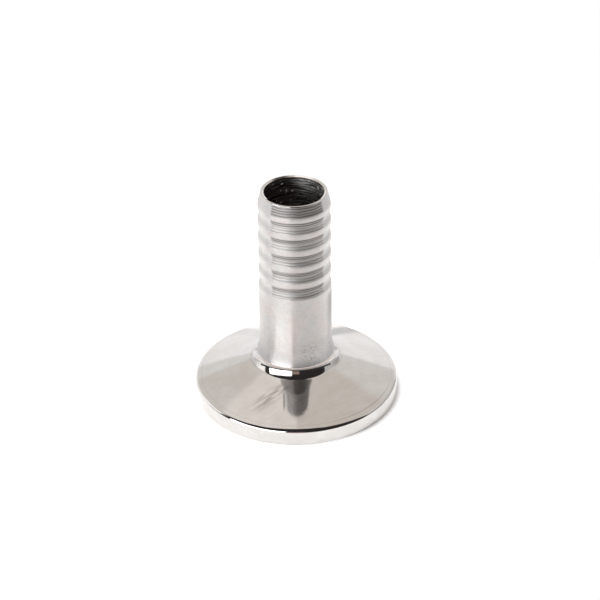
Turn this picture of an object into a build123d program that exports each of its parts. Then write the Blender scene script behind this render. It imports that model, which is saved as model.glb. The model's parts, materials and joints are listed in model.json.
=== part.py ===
"""Hygienic clamp ferrule with a ribbed hose stem, in millimetres.

The origin is the centre of the sealing face, and +Z runs along the bore to the mouth.
Every piece is turned, so each outline is drawn as (radius, height) and revolved about +Z.
"""

import os
from math import asin, cos, radians, sin, tan

from build123d import *

# Clamp flange, to the outer profile of the 34 mm clamp size
FLANGE_R = 17.0
RIM_THICKNESS = 2.75  # height at which the cone would meet the outside diameter
CONE_ANGLE = 20.0
RIM_CORNER_R = 0.75  # between the rim wall and the cone
FACE_EDGE_R = 0.2  # between the rim wall and the sealing face
GASKET_GROOVE_R = 13.75  # to the middle of the groove
GASKET_GROOVE_HALF_WIDTH = 1.6
GASKET_GROOVE_DEPTH = 1.5

# Neck, a hollow that runs into a tighter corner at the foot of the cone
NECK_HOLLOW_R = 3.7
NECK_CORNER_R = 0.7
NECK_TOP_SLOPE = 12.0  # from vertical

# Tube
BORE_R = 4.85
SHANK_R = 6.0
MOUTH_Z = 37.5

# Full-depth weld between the neck and the stem, its outside dressed to a hollow
WELD_FOOT_Z = 7.95
WELD_TOP_Z = 10.6
WELD_HOLLOW_R = 8.0  # tangent to the shank at the weld's top
WELD_ROOT_WIDTH = 1.6  # in the bore

# Rings that grip the hose, between soft V grooves
GROOVE_COUNT = 5
GROOVE_PITCH = 3.0
FIRST_GROOVE_Z = 21.75
GROOVE_WIDTH = 2.0
GROOVE_APEX_R = 5.6  # where the two flanks would meet
GROOVE_BOTTOM_ROUNDING = 1.2
RING_EDGE_ROUNDING = 2.0
RING_R = 5.93
TOP_RING_R = 5.9

# Mouth
LEAD_IN_Z = 35.5  # where the top ring would turn into the lead-in taper
LEAD_IN_ROUNDING = 3.0
LIP_R = 5.36  # where the taper would meet the lip's top
LIP_EDGE_ROUNDING = 0.15
LIP_BEVEL_WIDTH = 0.27  # into the bore
LIP_BEVEL_DEPTH = 0.12

WELD_SLOPE = asin((WELD_TOP_Z - WELD_FOOT_Z) / WELD_HOLLOW_R)  # from vertical, at the foot
NECK_R = SHANK_R + WELD_HOLLOW_R * (1 - cos(WELD_SLOPE))
WELD_MIDDLE_Z = (WELD_FOOT_Z + WELD_TOP_Z) / 2
WELD_ROOT_FOOT = (BORE_R, WELD_MIDDLE_Z - WELD_ROOT_WIDTH / 2)
WELD_ROOT_TOP = (BORE_R, WELD_MIDDLE_Z + WELD_ROOT_WIDTH / 2)
WELD_FOOT = (NECK_R, WELD_FOOT_Z)
WELD_TOP = (SHANK_R, WELD_TOP_Z)


def turned(*outline):
    """Revolve a closed outline of (radius, height) lines and arcs about the bore."""
    return revolve(Plane.XZ * make_face(outline), Axis.Z)


def neck_outline():
    """Hollow and corner arcs down from the weld's foot, the corner ending tangent to the cone."""
    cone = radians(CONE_ANGLE)
    top = radians(NECK_TOP_SLOPE)
    foot = radians(90) - cone
    drop_to_cone = WELD_FOOT_Z - RIM_THICKNESS - (FLANGE_R - NECK_R) * tan(cone)
    reach = drop_to_cone * cos(cone) + NECK_HOLLOW_R * sin(top + cone) - NECK_CORNER_R
    middle = asin(reach / (NECK_HOLLOW_R - NECK_CORNER_R)) - cone
    joint = (
        NECK_R + NECK_HOLLOW_R * (cos(top) - cos(middle)),
        WELD_FOOT_Z - NECK_HOLLOW_R * (sin(middle) - sin(top)),
    )
    cone_end = (
        joint[0] + NECK_CORNER_R * (cos(middle) - cos(foot)),
        joint[1] - NECK_CORNER_R * (sin(foot) - sin(middle)),
    )
    return (
        TangentArc(WELD_FOOT, joint, tangent=(sin(top), -cos(top))),
        TangentArc(joint, cone_end, tangent=(sin(middle), -cos(middle))),
    )


def make_clamp_ferrule():
    """Flange with a gasket groove, a clamp cone and a short neck that ends at the weld."""
    bore_edge = (BORE_R, 0)
    groove_inside = (GASKET_GROOVE_R - GASKET_GROOVE_HALF_WIDTH, 0)
    groove_top = (GASKET_GROOVE_R, GASKET_GROOVE_DEPTH)
    groove_outside = (GASKET_GROOVE_R + GASKET_GROOVE_HALF_WIDTH, 0)
    hollow, corner = neck_outline()
    rim = FilletPolyline(
        groove_outside,
        (FLANGE_R, 0),
        (FLANGE_R, RIM_THICKNESS),
        corner @ 1,
        radius=(FACE_EDGE_R, RIM_CORNER_R),
    )
    return turned(
        Line(bore_edge, groove_inside),
        ThreePointArc(groove_inside, groove_top, groove_outside),
        rim,
        corner,
        hollow,
        Polyline(WELD_FOOT, WELD_ROOT_FOOT, bore_edge),
    )


def make_neck_weld():
    """Weld ring, wide outside and narrow in the bore."""
    return turned(
        TangentArc(WELD_TOP, WELD_FOOT, tangent=(0, -1)),
        Polyline(WELD_FOOT, WELD_ROOT_FOOT, WELD_ROOT_TOP, WELD_TOP),
    )


def stem_outside():
    """Outside of the stem from the weld, over the rings, to the lip."""
    corners = [WELD_TOP]
    roundings = []
    for number in range(GROOVE_COUNT):
        middle = FIRST_GROOVE_Z + number * GROOVE_PITCH
        below = SHANK_R if number == 0 else RING_R
        above = TOP_RING_R if number == GROOVE_COUNT - 1 else RING_R
        corners += [
            (below, middle - GROOVE_WIDTH / 2),
            (GROOVE_APEX_R, middle),
            (above, middle + GROOVE_WIDTH / 2),
        ]
        roundings += [RING_EDGE_ROUNDING, GROOVE_BOTTOM_ROUNDING, RING_EDGE_ROUNDING]
    corners += [(TOP_RING_R, LEAD_IN_Z), (LIP_R, MOUTH_Z), (BORE_R + LIP_BEVEL_WIDTH, MOUTH_Z)]
    roundings += [LEAD_IN_ROUNDING, LIP_EDGE_ROUNDING]
    return FilletPolyline(*corners, radius=roundings)


def make_barbed_stem():
    """Tube with a plain shank, five hose rings, a tapered lead-in and a bevelled lip."""
    lip_top = (BORE_R + LIP_BEVEL_WIDTH, MOUTH_Z)
    bore_mouth = (BORE_R, MOUTH_Z - LIP_BEVEL_DEPTH)
    return turned(stem_outside(), Polyline(lip_top, bore_mouth, WELD_ROOT_TOP, WELD_TOP))


PIECES = {
    "clamp_ferrule": make_clamp_ferrule,
    "neck_weld": make_neck_weld,
    "barbed_stem": make_barbed_stem,
}

os.makedirs("parts", exist_ok=True)
for name, make in PIECES.items():
    piece = make()
    piece.label = name
    export_step(piece, f"parts/{name}.step")
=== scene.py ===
"""Looks of the hygienic clamp ferrule with a ribbed hose stem.

Outlines are drawn as (radius, height) in millimetres, as the part is, and MM turns them into
the frame's metres. Every piece is turned about +Z. Azimuth 0 is -Y, where the camera stands,
and grows to the right.
"""

import json
from math import asin, atan2, ceil, cos, degrees, hypot, pi, radians, sin, tan

import bpy
from mathutils import Matrix, Vector


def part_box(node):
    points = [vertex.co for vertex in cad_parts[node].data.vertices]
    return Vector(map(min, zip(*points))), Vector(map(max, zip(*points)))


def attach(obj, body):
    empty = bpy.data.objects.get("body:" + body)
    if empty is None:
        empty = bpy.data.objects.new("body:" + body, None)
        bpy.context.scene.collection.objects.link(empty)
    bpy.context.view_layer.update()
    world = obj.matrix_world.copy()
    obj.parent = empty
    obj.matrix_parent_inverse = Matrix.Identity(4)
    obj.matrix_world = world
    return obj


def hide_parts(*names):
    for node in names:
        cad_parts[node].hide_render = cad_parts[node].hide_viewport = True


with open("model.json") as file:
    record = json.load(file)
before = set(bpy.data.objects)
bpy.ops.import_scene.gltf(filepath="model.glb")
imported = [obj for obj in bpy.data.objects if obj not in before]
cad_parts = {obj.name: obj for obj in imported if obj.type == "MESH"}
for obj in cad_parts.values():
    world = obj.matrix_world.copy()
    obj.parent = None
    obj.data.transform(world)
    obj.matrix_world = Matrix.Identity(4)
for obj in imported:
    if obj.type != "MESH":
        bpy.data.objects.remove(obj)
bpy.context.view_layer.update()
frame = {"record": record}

MM = 0.001

# ---------------------------------------------------------------- sizes read from the frame
MOUNTS = {mount["name"]: mount["dims"] for mount in frame["record"]["mounts"]}
FLANGE_R = MOUNTS["clamp_rim"]["r_mm"]
SHANK_R = MOUNTS["hose_shank"]["r_mm"]
BORE_R = MOUNTS["flow_bore"]["r_mm"]
WELD_FOOT_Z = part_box("neck_weld")[0].z / MM
WELD_TOP_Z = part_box("neck_weld")[1].z / MM
NECK_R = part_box("neck_weld")[1].x / MM
MOUTH_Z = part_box("barbed_stem")[1].z / MM

# ---------------------------------------------------------------- sizes of details, in mm
RIM_THICKNESS = 2.75
CONE_ANGLE = 20.0
RIM_CORNER_R = 0.75
FACE_EDGE_R = 0.2
GASKET_GROOVE_R = 13.75
GASKET_GROOVE_HALF_WIDTH = 1.6
GASKET_GROOVE_DEPTH = 1.5
NECK_HOLLOW_R = 3.7
NECK_CORNER_R = 0.7
NECK_TOP_SLOPE = 12.0
WELD_HOLLOW_R = 8.0
WELD_ROOT_WIDTH = 1.6
GROOVE_COUNT = 5
GROOVE_PITCH = 3.0
FIRST_GROOVE_Z = 21.75
GROOVE_WIDTH = 2.0
GROOVE_APEX_R = 5.6
GROOVE_BOTTOM_ROUNDING = 1.2
RING_EDGE_ROUNDING = 2.0
RING_R = 5.93
TOP_RING_R = 5.9
LEAD_IN_Z = 35.5
LEAD_IN_ROUNDING = 3.0
LIP_R = 5.36
LIP_EDGE_ROUNDING = 0.15
LIP_BEVEL_WIDTH = 0.27
LIP_BEVEL_DEPTH = 0.12
LIP_POLISHED_Z = 37.25
CUTTER_PITCH = 0.42  # between the turned lines in the hose grooves
BORING_PITCH = 0.5  # between the rings in the bore
SCRIBED_LINE_R = FLANGE_R - 1.03

# ---------------------------------------------------------------- places of finish changes and of painted light and shade
# Spans of azimuth on the part, in radians
# the lip's painted dark reflection and painted highlight
LIP_PAINTED_DARK = (-2.95, -2.4)
LIP_PAINTED_HIGHLIGHT = (2.5, 3.1)
# painted contact shadow along the rim's foot
FOOT_PAINTED_SHADOW = (0.55, 1.9)
SCRIBED_DEEPER = (0.45, 1.15)
# painted shade on the grooves at the left front; the grooves' painted shade shows over
# GROOVES_FRONT and at the back
GROOVES_PAINTED_SHADE = (-0.7, -0.08)
GROOVES_FRONT = (-0.7, 0.9)
PITTED = (0.1, 1.3)

# ---------------------------------------------------------------- floor, in mm
FLOOR_R = 70
FLOOR_SIDES = 180
FLOOR_GAP = 0.02
FLOOR_GLOW = 0.55  # strength, of which SHADE is missing at the flange's right edge as a painted contact shadow
SHADE = 0.3
SHADE_WIDTH = 1.3
SHADE_X = (6, 14)  # over which the shade begins

# ---------------------------------------------------------------- studio, in degrees
LEFT_WALL = (-124, -86)
RIGHT_WALL = (78, 141)
WALLS_UP = (-5, 32)
FRONT = (-88, 80)
FRONT_LEFT = (-99, -86)
HORIZON = (-105, 102)
SOFTBOX = (-74, -12)
BROWN_PANEL = (-12, 8)

# ---------------------------------------------------------------- mesh
STEPS_ROUND = 384
ARC_STEP = 2.0  # degrees
LONGEST = 0.6  # mm, of the faces on a straight stretch
GUARD = 0.03  # mm, from each end of a straight stretch to a ring that keeps its shading straight
CREASE = 6.0  # degrees, above which an edge stays sharp
ROUNDING_ERROR = 0.001  # mm


# ---------------------------------------------------------------- outlines
def arc(centre, radius, first, last):
    """Points on an arc between two angles in degrees, both ends included."""
    pieces = ceil(abs(last - first) / ARC_STEP)
    points = []
    for i in range(pieces + 1):
        angle = radians(first + (last - first) * i / pieces)
        points.append((centre[0] + radius * cos(angle), centre[1] + radius * sin(angle)))
    return points


def rounded(corners, radii):
    """Open outline through corners, with the inner ones rounded."""
    points = [corners[0]]
    for before, corner, after, radius in zip(corners, corners[1:], corners[2:], radii):
        corner = Vector(corner)
        back = (Vector(before) - corner).normalized()
        ahead = (Vector(after) - corner).normalized()
        half = back.angle(ahead) / 2
        centre = corner + (back + ahead).normalized() * radius / sin(half)
        start = corner + back * radius / tan(half) - centre
        end = corner + ahead * radius / tan(half) - centre
        first = degrees(atan2(start.y, start.x))
        points += arc(centre, radius, first, first - degrees(start.angle_signed(end)))
    points.append(corners[-1])
    return points


def on_line(start, end, length):
    share = length / hypot(end[0] - start[0], end[1] - start[1])
    return (start[0] + (end[0] - start[0]) * share, start[1] + (end[1] - start[1]) * share)


def divided(outline):
    """The same closed outline, its straight stretches cut into short ones."""
    points = []
    for start, end in zip(outline, outline[1:] + outline[:1]):
        points.append(start)
        length = hypot(end[0] - start[0], end[1] - start[1])
        if length < 3 * GUARD:
            continue
        pieces = ceil(length / LONGEST)
        for i in range(pieces + 1):
            points.append(on_line(start, end, GUARD + (length - 2 * GUARD) * i / pieces))
    return points


def turn_at(before, point, after):
    a = Vector(point) - Vector(before)
    b = Vector(after) - Vector(point)
    return degrees(a.angle(b))


def turned(name, outline, finishes, finish_of):
    """Mesh of a closed outline revolved about +Z, with finish_of(radius, height) on each face."""
    outline = divided(outline)
    count = len(outline)
    points = []
    for radius, height in outline:
        for i in range(STEPS_ROUND):
            angle = 2 * pi * i / STEPS_ROUND
            points.append((radius * cos(angle) * MM, radius * sin(angle) * MM, height * MM))
    faces = []
    indices = []
    for ring in range(count):
        above = (ring + 1) % count
        radius = (outline[ring][0] + outline[above][0]) / 2
        height = (outline[ring][1] + outline[above][1]) / 2
        finish = finish_of(radius, height)
        for i in range(STEPS_ROUND):
            j = (i + 1) % STEPS_ROUND
            low = ring * STEPS_ROUND
            high = above * STEPS_ROUND
            faces.append((low + i, low + j, high + j, high + i))
            indices.append(finishes.index(finish))
    mesh = bpy.data.meshes.new(name)
    mesh.from_pydata(points, [], faces)
    for finish in finishes:
        mesh.materials.append(finish)
    mesh.polygons.foreach_set("material_index", indices)
    mesh.polygons.foreach_set("use_smooth", [True] * len(faces))
    creased = [
        turn_at(outline[i - 1], outline[i], outline[(i + 1) % count]) > CREASE for i in range(count)
    ]
    for edge in mesh.edges:
        a, b = (vertex // STEPS_ROUND for vertex in edge.vertices)
        edge.use_edge_sharp = a == b and creased[a]
    mesh.update()
    piece = bpy.data.objects.new(name, mesh)
    bpy.context.scene.collection.objects.link(piece)
    return piece


# ---------------------------------------------------------------- nodes
class Graph:
    """Short names for the nodes of a material or a world."""

    def __init__(self, tree):
        self.nodes = tree.nodes
        self.links = tree.links

    def put(self, socket, value):
        if isinstance(value, bpy.types.NodeSocket):
            self.links.new(value, socket)
        else:
            socket.default_value = value

    def math(self, operation, *values):
        node = self.nodes.new("ShaderNodeMath")
        node.operation = operation
        for socket, value in zip(node.inputs, values):
            self.put(socket, value)
        return node.outputs[0]

    def times(self, *factors):
        product = factors[0]
        for factor in factors[1:]:
            product = self.math("MULTIPLY", product, factor)
        return product

    def vector(self, x, y, z):
        node = self.nodes.new("ShaderNodeCombineXYZ")
        for socket, value in zip(node.inputs, (x, y, z)):
            self.put(socket, value)
        return node.outputs[0]

    def ramp(self, value, low, high, to_low=0.0, to_high=1.0):
        """to_low below low, to_high above high, and a smooth step between."""
        node = self.nodes.new("ShaderNodeMapRange")
        node.interpolation_type = "SMOOTHSTEP"
        self.put(node.inputs["Value"], value)
        node.inputs["From Min"].default_value = low
        node.inputs["From Max"].default_value = high
        node.inputs["To Min"].default_value = to_low
        node.inputs["To Max"].default_value = to_high
        return node.outputs["Result"]

    def fade(self, value, low, high):
        """1 below low, 0 above high, and a smooth step between."""
        return self.ramp(value, low, high, to_low=1.0, to_high=0.0)

    def band(self, value, low, high, soft):
        """1 between low and high, 0 outside, over edges that are soft wide."""
        up = self.ramp(value, low - soft / 2, low + soft / 2)
        down = self.ramp(value, high - soft / 2, high + soft / 2)
        return self.math("SUBTRACT", up, down)

    def blend(self, amount, below, above):
        """The color below where amount is 0, and above where it is 1."""
        node = self.nodes.new("ShaderNodeMix")
        node.data_type = "RGBA"
        self.put(node.inputs[0], amount)
        for socket, value in ((node.inputs[6], below), (node.inputs[7], above)):
            self.put(socket, (*value, 1) if isinstance(value, tuple) else value)
        return node.outputs[2]


# ---------------------------------------------------------------- materials
class Steel(Graph):
    """Bare steel that knows the place on the turned part, in millimetres and radians."""

    def __init__(self, name, anisotropic=0.0):
        self.material = bpy.data.materials.new(name)
        self.material.use_nodes = True
        super().__init__(self.material.node_tree)
        self.shader = self.nodes["Principled BSDF"]
        self.shader.inputs["Metallic"].default_value = 1.0
        self.shader.inputs["Anisotropic"].default_value = anisotropic
        self.shader.inputs["Anisotropic Rotation"].default_value = 0.25
        where = self.nodes.new("ShaderNodeTexCoord")
        scale = self.nodes.new("ShaderNodeVectorMath")
        scale.operation = "SCALE"
        scale.inputs["Scale"].default_value = 1 / MM
        self.links.new(where.outputs["Object"], scale.inputs[0])
        split = self.nodes.new("ShaderNodeSeparateXYZ")
        self.links.new(scale.outputs[0], split.inputs[0])
        self.x, self.y, self.z = split.outputs
        square = self.math("MULTIPLY_ADD", self.y, self.y, self.times(self.x, self.x))
        self.r = self.math("SQRT", square)
        self.azimuth = self.math("ARCTAN2", self.x, self.times(self.y, -1.0))
        self.from_front = self.math("ABSOLUTE", self.azimuth)

    def grain(self, around, along, detail=3.0, seed=0.0):
        """Noise of so many cycles per mm around the part and along its outline."""
        path = self.math("MULTIPLY_ADD", self.r, 0.8, self.z)
        place = self.vector(
            self.math("MULTIPLY_ADD", self.x, around, seed),
            self.times(self.y, around),
            self.times(path, along),
        )
        return self.noise(place, detail)

    def noise(self, place, detail):
        node = self.nodes.new("ShaderNodeTexNoise")
        node.inputs["Scale"].default_value = 1.0
        node.inputs["Detail"].default_value = detail
        self.links.new(place, node.inputs["Vector"])
        return node.outputs["Fac"]

    def color(self, value):
        self.put(self.shader.inputs["Base Color"], value)

    def roughness(self, value):
        self.put(self.shader.inputs["Roughness"], value)

    def relief(self, height, depth):
        """Bump of the given depth in mm, on top of any before it."""
        node = self.nodes.new("ShaderNodeBump")
        node.inputs["Distance"].default_value = depth * MM
        self.links.new(height, node.inputs["Height"])
        before = self.shader.inputs["Normal"].links
        if before:
            self.links.new(before[0].from_socket, node.inputs["Normal"])
        self.links.new(node.outputs[0], self.shader.inputs["Normal"])


def browned_by_weld(steel, color):
    beside_weld = steel.band(steel.z, WELD_FOOT_Z - 0.45, WELD_FOOT_Z + 0.2, soft=0.3)
    brown = (0.3, 0.23, 0.2)
    return steel.blend(steel.times(beside_weld, 0.6), color, brown)


def lip_painted_reflections(steel, color):
    """The color, with a painted dark reflection and a painted highlight on the far side of the lip.
    """
    lip = steel.ramp(steel.z, LIP_POLISHED_Z, LIP_POLISHED_Z + 0.05)
    painted_dark = steel.times(lip, steel.band(steel.azimuth, *LIP_PAINTED_DARK, soft=0.3))
    color = steel.blend(painted_dark, color, (0.1, 0.09, 0.085))
    bright = steel.times(lip, steel.band(steel.azimuth, *LIP_PAINTED_HIGHLIGHT, soft=0.2))
    return steel.blend(bright, color, (0.95, 0.94, 0.93))


def painted_contact_shadow(steel, color):
    """The color, dark along the bottom edge of the rim on the right: a painted contact shadow."""
    foot = steel.fade(steel.z, 0.15, 0.4)
    right = steel.band(steel.azimuth, *FOOT_PAINTED_SHADOW, soft=0.5)
    contact_shadow = (0.16, 0.14, 0.14)
    return steel.blend(steel.times(foot, right, 0.9), color, contact_shadow)


def painted_shade_on_neck_sides(steel, color):
    # painted shade that dims the neck's reflections at both sides
    side = steel.ramp(steel.from_front, 0.95, 1.25)
    neck = steel.band(steel.z, 6.25, WELD_FOOT_Z + 0.2, soft=0.5)
    neck_side_shade = (0.44, 0.425, 0.415)
    return steel.blend(steel.times(side, neck), color, neck_side_shade)


def rubbed_marks(steel):
    """0 to 1 over slanting hairlines from rubbing in front of the tube, and faintly elsewhere."""
    across = steel.math("MULTIPLY_ADD", steel.y, -0.82, steel.times(steel.x, 0.57))
    along = steel.math("MULTIPLY_ADD", steel.y, 0.57, steel.times(steel.x, 0.82))
    place = steel.vector(steel.times(across, 2.6), steel.times(along, 0.2), steel.z)
    hair = steel.ramp(steel.noise(place, detail=3), 0.36, 0.62)
    patch = steel.times(
        steel.band(across, 4.9, 6.9, soft=1.4), steel.band(along, -12.2, -6.2, soft=3.0)
    )
    strength = steel.math("MULTIPLY_ADD", patch, 0.75, 0.05)
    streak = steel.times(
        steel.band(steel.x, -2.2, -1.9, soft=0.25), steel.band(steel.y, -12.8, -9.6, soft=1.5)
    )
    marks = steel.math("MAXIMUM", steel.times(hair, strength), streak)
    on_cone = steel.fade(steel.z, 5.6, 6.4)
    return steel.times(marks, on_cone)


def scribed_line(steel):
    """Faint line turned round the cone's edge, deeper in front on the right."""
    line = steel.band(steel.r, SCRIBED_LINE_R - 0.07, SCRIBED_LINE_R + 0.07, soft=0.1)
    on_cone = steel.ramp(steel.z, 2.6, 2.8)
    deeper = steel.band(steel.azimuth, *SCRIBED_DEEPER, soft=0.4)
    return steel.times(line, on_cone, steel.math("MULTIPLY_ADD", deeper, 0.35, 0.15))


def make_polished():
    """Buffed steel with a faint haze, fine wiping marks around the part and a few rubs."""
    steel = Steel("polished_steel")
    haze = steel.grain(around=0.25, along=0.5, detail=4)
    wiped = steel.grain(around=0.4, along=9, detail=2, seed=3.7)
    clean = steel.ramp(haze, 0.35, 0.7)
    color = steel.blend(clean, (0.62, 0.595, 0.575), (0.66, 0.645, 0.63))
    color = steel.blend(rubbed_marks(steel), color, (0.32, 0.29, 0.275))
    color = steel.blend(scribed_line(steel), color, (0.3, 0.28, 0.27))
    # heat tint by the weld, painted reflections on the lip, a painted contact shadow on the rim's
    # foot and painted shade on the neck's sides
    for change in (browned_by_weld, lip_painted_reflections, painted_contact_shadow, painted_shade_on_neck_sides):
        color = change(steel, color)
    steel.color(color)
    spread = steel.ramp(haze, 0.3, 0.75, to_low=0.075, to_high=0.03)
    steel.roughness(steel.math("MULTIPLY_ADD", wiped, 0.03, spread))
    steel.relief(wiped, depth=0.0012)
    return steel.material


def from_groove(steel):
    """Height above the middle of the nearest groove."""
    steps = steel.math("DIVIDE", steel.math("SUBTRACT", steel.z, FIRST_GROOVE_Z), GROOVE_PITCH)
    number = steel.math("MINIMUM", steel.math("ROUND", steps), GROOVE_COUNT - 1)
    middle = steel.math("MULTIPLY_ADD", number, GROOVE_PITCH, FIRST_GROOVE_Z)
    return steel.math("SUBTRACT", steel.z, middle)


def turned_bands(steel):
    """1 in the hose grooves and on the lead-in, where the cutter's path shows."""
    away = steel.math("ABSOLUTE", from_groove(steel))
    groove = steel.fade(away, 0.92, 1.08)
    above_shank = steel.ramp(steel.z, FIRST_GROOVE_Z - 1.5, FIRST_GROOVE_Z - 1.4)
    lead_in = steel.ramp(steel.z, LEAD_IN_Z, LEAD_IN_Z + 0.16)
    return steel.math("MULTIPLY_ADD", groove, above_shank, lead_in)


def cutter_color(steel):
    """Fine turned lines and a lighter one in the middle of each groove, under painted shade: the
    upper flank darker than the lower, darker still on the left front, and shown only in front and
    at the back, the sides keeping a plain light colour.
    """
    wobble = steel.grain(around=0.9, along=0.5, detail=2, seed=4.4)
    place = steel.math("MULTIPLY_ADD", wobble, 0.3, steel.z)
    line = steel.math("SINE", steel.times(place, 2 * pi / CUTTER_PITCH))
    uneven = steel.grain(around=0.15, along=5, detail=2, seed=7.7)
    shade = steel.ramp(steel.math("MULTIPLY_ADD", line, 0.22, uneven), 0.25, 0.75)
    height = from_groove(steel)
    # painted shade: the lower flank lit, the upper flank shaded
    lower = steel.blend(shade, (0.4, 0.375, 0.36), (0.72, 0.695, 0.675))
    upper = steel.blend(shade, (0.22, 0.205, 0.195), (0.5, 0.475, 0.46))
    color = steel.blend(steel.ramp(height, -0.2, 0.3), lower, upper)
    middle = steel.band(height, -0.04, 0.2, soft=0.16)
    color = steel.blend(steel.times(middle, 0.5), color, (0.66, 0.64, 0.62))
    # painted shade on the grooves at the left front
    painted_dark = steel.band(steel.azimuth, *GROOVES_PAINTED_SHADE, soft=0.12)
    color = steel.blend(steel.times(painted_dark, 0.22), color, (0.3, 0.28, 0.27))
    # the grooves' painted shade shows only in front and at the back; the sides keep a plain light
    # colour
    front = steel.band(steel.azimuth, *GROOVES_FRONT, soft=0.12)
    back = steel.ramp(steel.from_front, 1.5, 1.9)
    unshaded_sides = (0.72, 0.71, 0.7)
    return steel.blend(steel.math("ADD", front, back), unshaded_sides, color)


def weld_tint_and_painted_light(steel, color):
    """The color, darker beside the weld, a little all round as heat tint and more at the sides as
    painted shade, and lighter just above it on the right as painted light.
    """
    right = steel.ramp(steel.azimuth, -0.1, 0.1)
    above = steel.ramp(steel.z, 10, 17, to_low=0.5, to_high=0.0)
    color = steel.blend(steel.times(above, right), color, (0.72, 0.7, 0.685))
    low = steel.fade(steel.z, 8.4, 11)
    sides = steel.ramp(steel.from_front, 0.6, 1.2, to_low=0.25, to_high=0.85)
    return steel.blend(steel.times(low, sides), color, (0.34, 0.345, 0.35))


def painted_light_and_shade_at_sides(steel, color):
    """The color, with painted light at the sides of the rings and painted shade at the shank's
    right side.
    """
    side = steel.ramp(steel.from_front, 0.6, 1.1, to_low=0.0, to_high=0.7)
    rings = steel.ramp(steel.z, 18, 22)
    color = steel.blend(steel.times(side, rings), color, (0.72, 0.71, 0.7))
    right = steel.ramp(steel.azimuth, 0.95, 1.25)
    shank = steel.ramp(steel.z, 19, 21, to_low=0.8, to_high=0.0)
    return steel.blend(steel.times(right, shank), color, (0.22, 0.22, 0.22))


def pits(steel):
    """1 in small pits low on the right."""
    speckle = steel.ramp(steel.grain(around=4.2, along=4.2, detail=1, seed=2.2), 0.6, 0.66)
    low = steel.band(steel.z, 8.4, 12.0, soft=2.0)
    right = steel.band(steel.azimuth, *PITTED, soft=0.4)
    return steel.times(speckle, low, right)


def make_satin():
    """Satin steel, brushed around, with turned bands and a few pits."""
    steel = Steel("satin_steel", anisotropic=0.85)
    bands = turned_bands(steel)
    grain = steel.grain(around=3.5, along=5, detail=2)
    brushed = steel.grain(around=0.5, along=12, detail=2, seed=5.1)
    mottle = steel.grain(around=1.1, along=1.6, detail=3, seed=8.3)
    cloud = steel.grain(around=0.35, along=0.35, detail=2, seed=9.4)
    clear = steel.ramp(cloud, 0.35, 0.65)
    plain = steel.blend(clear, (0.595, 0.54, 0.52), (0.57, 0.555, 0.545))
    dark_grain = steel.ramp(grain, 0.3, 0.7, to_low=0.35, to_high=0.0)
    plain = steel.blend(dark_grain, plain, (0.4, 0.38, 0.365))
    mottled = steel.ramp(mottle, 0.35, 0.65, to_low=0.22, to_high=0.0)
    plain = steel.blend(mottled, plain, (0.4, 0.385, 0.375))
    # painted light and shade at the sides and by the weld
    plain = weld_tint_and_painted_light(steel, painted_light_and_shade_at_sides(steel, plain))
    color = steel.blend(bands, plain, cutter_color(steel))
    steel.color(steel.blend(pits(steel), color, (0.3, 0.285, 0.28)))
    satin_or_cut = steel.ramp(bands, 0, 1, to_low=0.3, to_high=0.54)
    steel.roughness(steel.math("MULTIPLY_ADD", grain, 0.06, satin_or_cut))
    steel.relief(grain, depth=0.003)
    steel.relief(brushed, depth=0.003)
    return steel.material


def make_bore():
    """Bored steel, matt, with the boring bar's fine rings, painted shade on its left side, and
    dust.
    """
    steel = Steel("bore_steel", anisotropic=0.4)
    uneven = steel.grain(around=0.25, along=1.5, detail=3)
    place = steel.math("MULTIPLY_ADD", uneven, 1.2, steel.z)
    line = steel.math("SINE", steel.times(place, 2 * pi / BORING_PITCH))
    rings = steel.math("MULTIPLY_ADD", line, 0.2, uneven)
    clean = steel.ramp(rings, 0.3, 0.7)
    painted_dark = steel.blend(clean, (0.16, 0.14, 0.135), (0.24, 0.22, 0.215))
    bare = steel.blend(clean, (0.52, 0.5, 0.49), (0.76, 0.74, 0.73))
    # painted shade: the left side darker
    side = steel.math("MULTIPLY_ADD", uneven, 3.0, steel.x)
    color = steel.blend(steel.ramp(side, 0.2, 3.4), painted_dark, bare)
    dust = steel.ramp(steel.grain(around=2.2, along=2.2, detail=1, seed=6.1), 0.7, 0.73)
    steel.color(steel.blend(dust, color, (0.9, 0.9, 0.9)))
    steel.put(steel.shader.inputs["Metallic"], steel.math("SUBTRACT", 1.0, dust))
    steel.roughness(steel.ramp(rings, 0.3, 0.7, to_low=0.26, to_high=0.4))
    steel.relief(rings, depth=0.012)
    return steel.material


def make_faced():
    """Sealing face, turned from the side."""
    steel = Steel("faced_steel", anisotropic=0.5)
    rings = steel.grain(around=0.15, along=7, detail=2)
    steel.color(steel.blend(rings, (0.6, 0.585, 0.57), (0.65, 0.64, 0.63)))
    steel.roughness(steel.ramp(rings, 0.3, 0.7, to_low=0.14, to_high=0.24))
    steel.relief(rings, depth=0.004)
    return steel.material


POLISHED = make_polished()
SATIN = make_satin()
BORE = make_bore()
FACED = make_faced()


# ---------------------------------------------------------------- pieces
def neck_outline():
    """Hollow and corner down from the weld's foot, the corner ending tangent to the cone."""
    cone = radians(CONE_ANGLE)
    top = radians(NECK_TOP_SLOPE)
    drop_to_cone = WELD_FOOT_Z - RIM_THICKNESS - (FLANGE_R - NECK_R) * tan(cone)
    reach = drop_to_cone * cos(cone) + NECK_HOLLOW_R * sin(top + cone) - NECK_CORNER_R
    middle = asin(reach / (NECK_HOLLOW_R - NECK_CORNER_R)) - cone
    centre = (NECK_R + NECK_HOLLOW_R * cos(top), WELD_FOOT_Z + NECK_HOLLOW_R * sin(top))
    hollow = arc(centre, NECK_HOLLOW_R, 180 + NECK_TOP_SLOPE, 180 + degrees(middle))
    joint = hollow[-1]
    centre = (joint[0] + NECK_CORNER_R * cos(middle), joint[1] + NECK_CORNER_R * sin(middle))
    corner = arc(centre, NECK_CORNER_R, 180 + degrees(middle), 270 - CONE_ANGLE)
    return hollow[:-1] + corner


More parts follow.
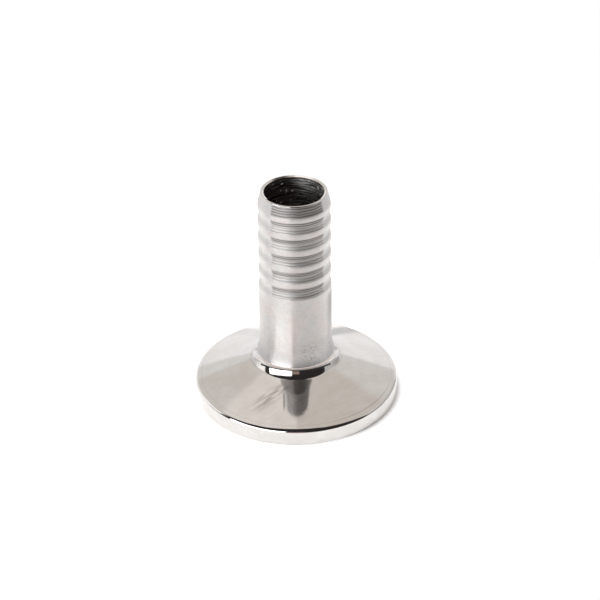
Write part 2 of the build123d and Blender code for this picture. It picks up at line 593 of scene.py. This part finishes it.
def in_bore(radius):
    return radius < BORE_R + ROUNDING_ERROR


def root_heights():
    middle = (WELD_FOOT_Z + WELD_TOP_Z) / 2
    return middle - WELD_ROOT_WIDTH / 2, middle + WELD_ROOT_WIDTH / 2


def gasket_groove():
    half = GASKET_GROOVE_HALF_WIDTH
    radius = (half**2 + GASKET_GROOVE_DEPTH**2) / (2 * GASKET_GROOVE_DEPTH)
    start = degrees(asin((radius - GASKET_GROOVE_DEPTH) / radius))
    centre = (GASKET_GROOVE_R, GASKET_GROOVE_DEPTH - radius)
    return arc(centre, radius, 180 - start, start)


def make_ferrule():
    neck = neck_outline()
    groove = gasket_groove()
    corners = (groove[-1], (FLANGE_R, 0), (FLANGE_R, RIM_THICKNESS), neck[-1])
    rim = rounded(corners, (FACE_EDGE_R, RIM_CORNER_R))
    outline = [(BORE_R, 0)] + groove + rim[1:-1] + neck[::-1] + [(BORE_R, root_heights()[0])]

    def finish_of(radius, height):
        if in_bore(radius):
            return BORE
        on_face = radius < FLANGE_R - FACE_EDGE_R
        if on_face and height < GASKET_GROOVE_DEPTH + ROUNDING_ERROR:
            return FACED
        return POLISHED

    return turned("ferrule", outline, (POLISHED, FACED, BORE), finish_of)


def make_weld():
    low, high = root_heights()
    slope = degrees(asin((WELD_TOP_Z - WELD_FOOT_Z) / WELD_HOLLOW_R))
    hollow = arc((SHANK_R + WELD_HOLLOW_R, WELD_TOP_Z), WELD_HOLLOW_R, 180 + slope, 180)
    outline = hollow + [(BORE_R, high), (BORE_R, low)]

    def finish_of(radius, height):
        return BORE if in_bore(radius) else SATIN

    return turned("weld", outline, (SATIN, BORE), finish_of)


def stem_outside():
    """Outside of the stem from the weld, over the rings, to the lip."""
    corners = [(SHANK_R, WELD_TOP_Z)]
    radii = []
    for number in range(GROOVE_COUNT):
        middle = FIRST_GROOVE_Z + number * GROOVE_PITCH
        below = SHANK_R if number == 0 else RING_R
        above = TOP_RING_R if number == GROOVE_COUNT - 1 else RING_R
        corners += [
            (below, middle - GROOVE_WIDTH / 2),
            (GROOVE_APEX_R, middle),
            (above, middle + GROOVE_WIDTH / 2),
        ]
        radii += [RING_EDGE_ROUNDING, GROOVE_BOTTOM_ROUNDING, RING_EDGE_ROUNDING]
    corners += [(TOP_RING_R, LEAD_IN_Z), (LIP_R, MOUTH_Z), (BORE_R + LIP_BEVEL_WIDTH, MOUTH_Z)]
    return rounded(corners, radii + [LEAD_IN_ROUNDING, LIP_EDGE_ROUNDING])


def make_stem():
    outline = stem_outside() + [(BORE_R, MOUTH_Z - LIP_BEVEL_DEPTH), (BORE_R, root_heights()[1])]

    def finish_of(radius, height):
        if in_bore(radius):
            return BORE
        return POLISHED if height > LIP_POLISHED_Z else SATIN

    return turned("stem", outline, (SATIN, POLISHED, BORE), finish_of)


for piece, node, finish in (
    (make_ferrule(), "clamp_ferrule", "polished_steel"),
    (make_weld(), "neck_weld", "satin_steel"),
    (make_stem(), "barbed_stem", "satin_steel"),
):
    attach(piece, "root")
    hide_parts(node)


# ---------------------------------------------------------------- floor, light and camera
def floor_glow(paper):
    """Strength of the light table's glow, weaker under the flange's right edge as a painted contact
    shadow.
    """
    where = paper.nodes.new("ShaderNodeTexCoord").outputs["Object"]
    away = paper.nodes.new("ShaderNodeVectorMath")
    away.operation = "LENGTH"
    paper.links.new(where, away.inputs[0])
    split = paper.nodes.new("ShaderNodeSeparateXYZ")
    paper.links.new(where, split.inputs[0])
    near = paper.fade(away.outputs["Value"], FLANGE_R * MM, (FLANGE_R + SHADE_WIDTH) * MM)
    right = paper.ramp(split.outputs[0], SHADE_X[0] * MM, SHADE_X[1] * MM)
    return paper.math("SUBTRACT", FLOOR_GLOW, paper.times(near, right, SHADE))


def make_floor():
    """Round sheet of white paper on a light table."""
    rim = []
    for i in range(FLOOR_SIDES):
        angle = 2 * pi * i / FLOOR_SIDES
        rim.append((FLOOR_R * cos(angle) * MM, FLOOR_R * sin(angle) * MM, 0))
    mesh = bpy.data.meshes.new("floor")
    mesh.from_pydata(rim, [], [range(FLOOR_SIDES)])
    floor = bpy.data.objects.new("floor", mesh)
    bpy.context.scene.collection.objects.link(floor)
    floor.location.z = -FLOOR_GAP * MM
    material = bpy.data.materials.new("paper")
    material.use_nodes = True
    paper = Graph(material.node_tree)
    shader = paper.nodes["Principled BSDF"]
    shader.inputs["Base Color"].default_value = (0.9, 0.9, 0.9, 1)
    shader.inputs["Roughness"].default_value = 0.9
    shader.inputs["Specular IOR Level"].default_value = 0.1
    shader.inputs["Emission Color"].default_value = (1, 1, 1, 1)
    paper.put(shader.inputs["Emission Strength"], floor_glow(paper))
    mesh.materials.append(material)


class Studio(Graph):
    """The studio around the object, as a color for each direction."""

    def __init__(self):
        world = bpy.data.worlds.new("studio")
        bpy.context.scene.world = world
        world.use_nodes = True
        super().__init__(world.node_tree)
        self.nodes.clear()
        where = self.nodes.new("ShaderNodeTexCoord")
        split = self.nodes.new("ShaderNodeSeparateXYZ")
        self.links.new(where.outputs["Generated"], split.inputs[0])
        x, y, z = split.outputs
        self.elevation = self.math("DEGREES", self.math("ARCSINE", z))
        self.azimuth = self.math("DEGREES", self.math("ARCTAN2", x, self.times(y, -1.0)))
        self.view = (1.0, 1.0, 1.0)

    def paint(self, mask, color):
        self.view = self.blend(mask, self.view, color)

    def panel(self, azimuths, elevations, soft, color):
        across = self.band(self.azimuth, *azimuths, soft)
        up = self.band(self.elevation, *elevations, soft)
        self.paint(self.times(across, up), color)

    def finish(self):
        """The camera itself sees plain white, and the object reflects the studio."""
        seen = self.nodes.new("ShaderNodeLightPath").outputs["Is Camera Ray"]
        background = self.nodes.new("ShaderNodeBackground")
        self.put(background.inputs["Color"], self.blend(seen, self.view, (1.0, 1.0, 1.0)))
        out = self.nodes.new("ShaderNodeOutputWorld")
        self.links.new(background.outputs[0], out.inputs["Surface"])


def make_studio():
    """Pale walls and ceiling, a dark front, and a softbox to the left of the camera."""
    studio = Studio()

    def between(left, right):
        return studio.ramp(studio.azimuth, -15, 15, to_low=left, to_high=right)

    def below(edge, soft):
        above = studio.math("SUBTRACT", studio.elevation, edge)
        return studio.fade(above, -soft, soft)

    on_right = between(0.0, 1.0)
    ceiling = studio.blend(on_right, (1.02, 0.97, 0.915), (0.8, 0.74, 0.69))
    upper_wall = studio.blend(on_right, (0.85, 0.81, 0.77), (0.9, 0.87, 0.84))
    wall = studio.blend(on_right, (0.96, 0.95, 0.93), (0.9, 0.88, 0.86))
    wall_foot = (1.18, 1.18, 1.18)
    studio.view = studio.blend(below(between(51, 44), soft=3), ceiling, upper_wall)
    studio.paint(below(27, soft=0.5), wall)
    studio.paint(below(between(18.9, 22.4), soft=1), wall_foot)
    studio.panel(LEFT_WALL, WALLS_UP, soft=4, color=(1.4, 1.37, 1.34))
    studio.panel(RIGHT_WALL, WALLS_UP, soft=4, color=(0.68, 0.67, 0.66))

    dark = (0.035, 0.03, 0.03)
    studio.panel(FRONT, (-5, 95), soft=4, color=dark)
    studio.panel(FRONT_LEFT, (40, 95), soft=4, color=dark)
    studio.paint(studio.ramp(studio.elevation, 76, 80), dark)
    studio.panel(HORIZON, (-5, 6.5), soft=2, color=(0.05, 0.05, 0.05))

    table_edge = between(1.08, 0.78)
    table = (1.22, 1.22, 1.22)
    studio.paint(below(0, soft=1), table_edge)
    studio.paint(below(-13, soft=3), table)
    studio.panel(SOFTBOX, (17, 31), soft=2, color=(2.2, 2.25, 2.3))
    studio.panel(SOFTBOX, (6.5, 19), soft=2, color=(7.6, 7.75, 7.9))
    studio.panel(BROWN_PANEL, (7, 22), soft=3, color=(0.38, 0.28, 0.24))
    studio.finish()


def make_light():
    data = bpy.data.lights.new("overhead", "AREA")
    data.shape = "DISK"
    data.size = 0.6
    data.energy = 4.5
    lamp = bpy.data.objects.new("overhead", data)
    lamp.location = (-0.22, 0.05, 1.05)
    lamp.rotation_euler = (-lamp.location).to_track_quat("-Z", "Y").to_euler()
    lamp.visible_glossy = False
    bpy.context.scene.collection.objects.link(lamp)


def make_camera():
    target = Vector((0, 0, 13.465 * MM))
    distance = 308.76 * MM
    elevation = radians(32.276)
    roll = radians(0.732)
    back = Vector((0, -cos(elevation), sin(elevation)))
    up = Vector((0, sin(elevation), cos(elevation)))
    right = Vector((1, 0, 0))
    data = bpy.data.cameras.new("camera")
    data.sensor_width = 36
    data.lens = 112.0
    data.shift_x = 0.0074
    data.shift_y = 0.0315
    data.clip_start = 0.01
    data.clip_end = 10
    camera = bpy.data.objects.new("camera", data)
    camera.location = target + back * distance
    turn = Matrix((right * cos(roll) - up * sin(roll), right * sin(roll) + up * cos(roll), back))
    camera.rotation_mode = "QUATERNION"
    camera.rotation_quaternion = turn.transposed().to_quaternion()
    bpy.context.scene.collection.objects.link(camera)
    bpy.context.scene.camera = camera


make_floor()
make_studio()
make_light()
make_camera()
bpy.context.scene.view_settings.view_transform = "Standard"
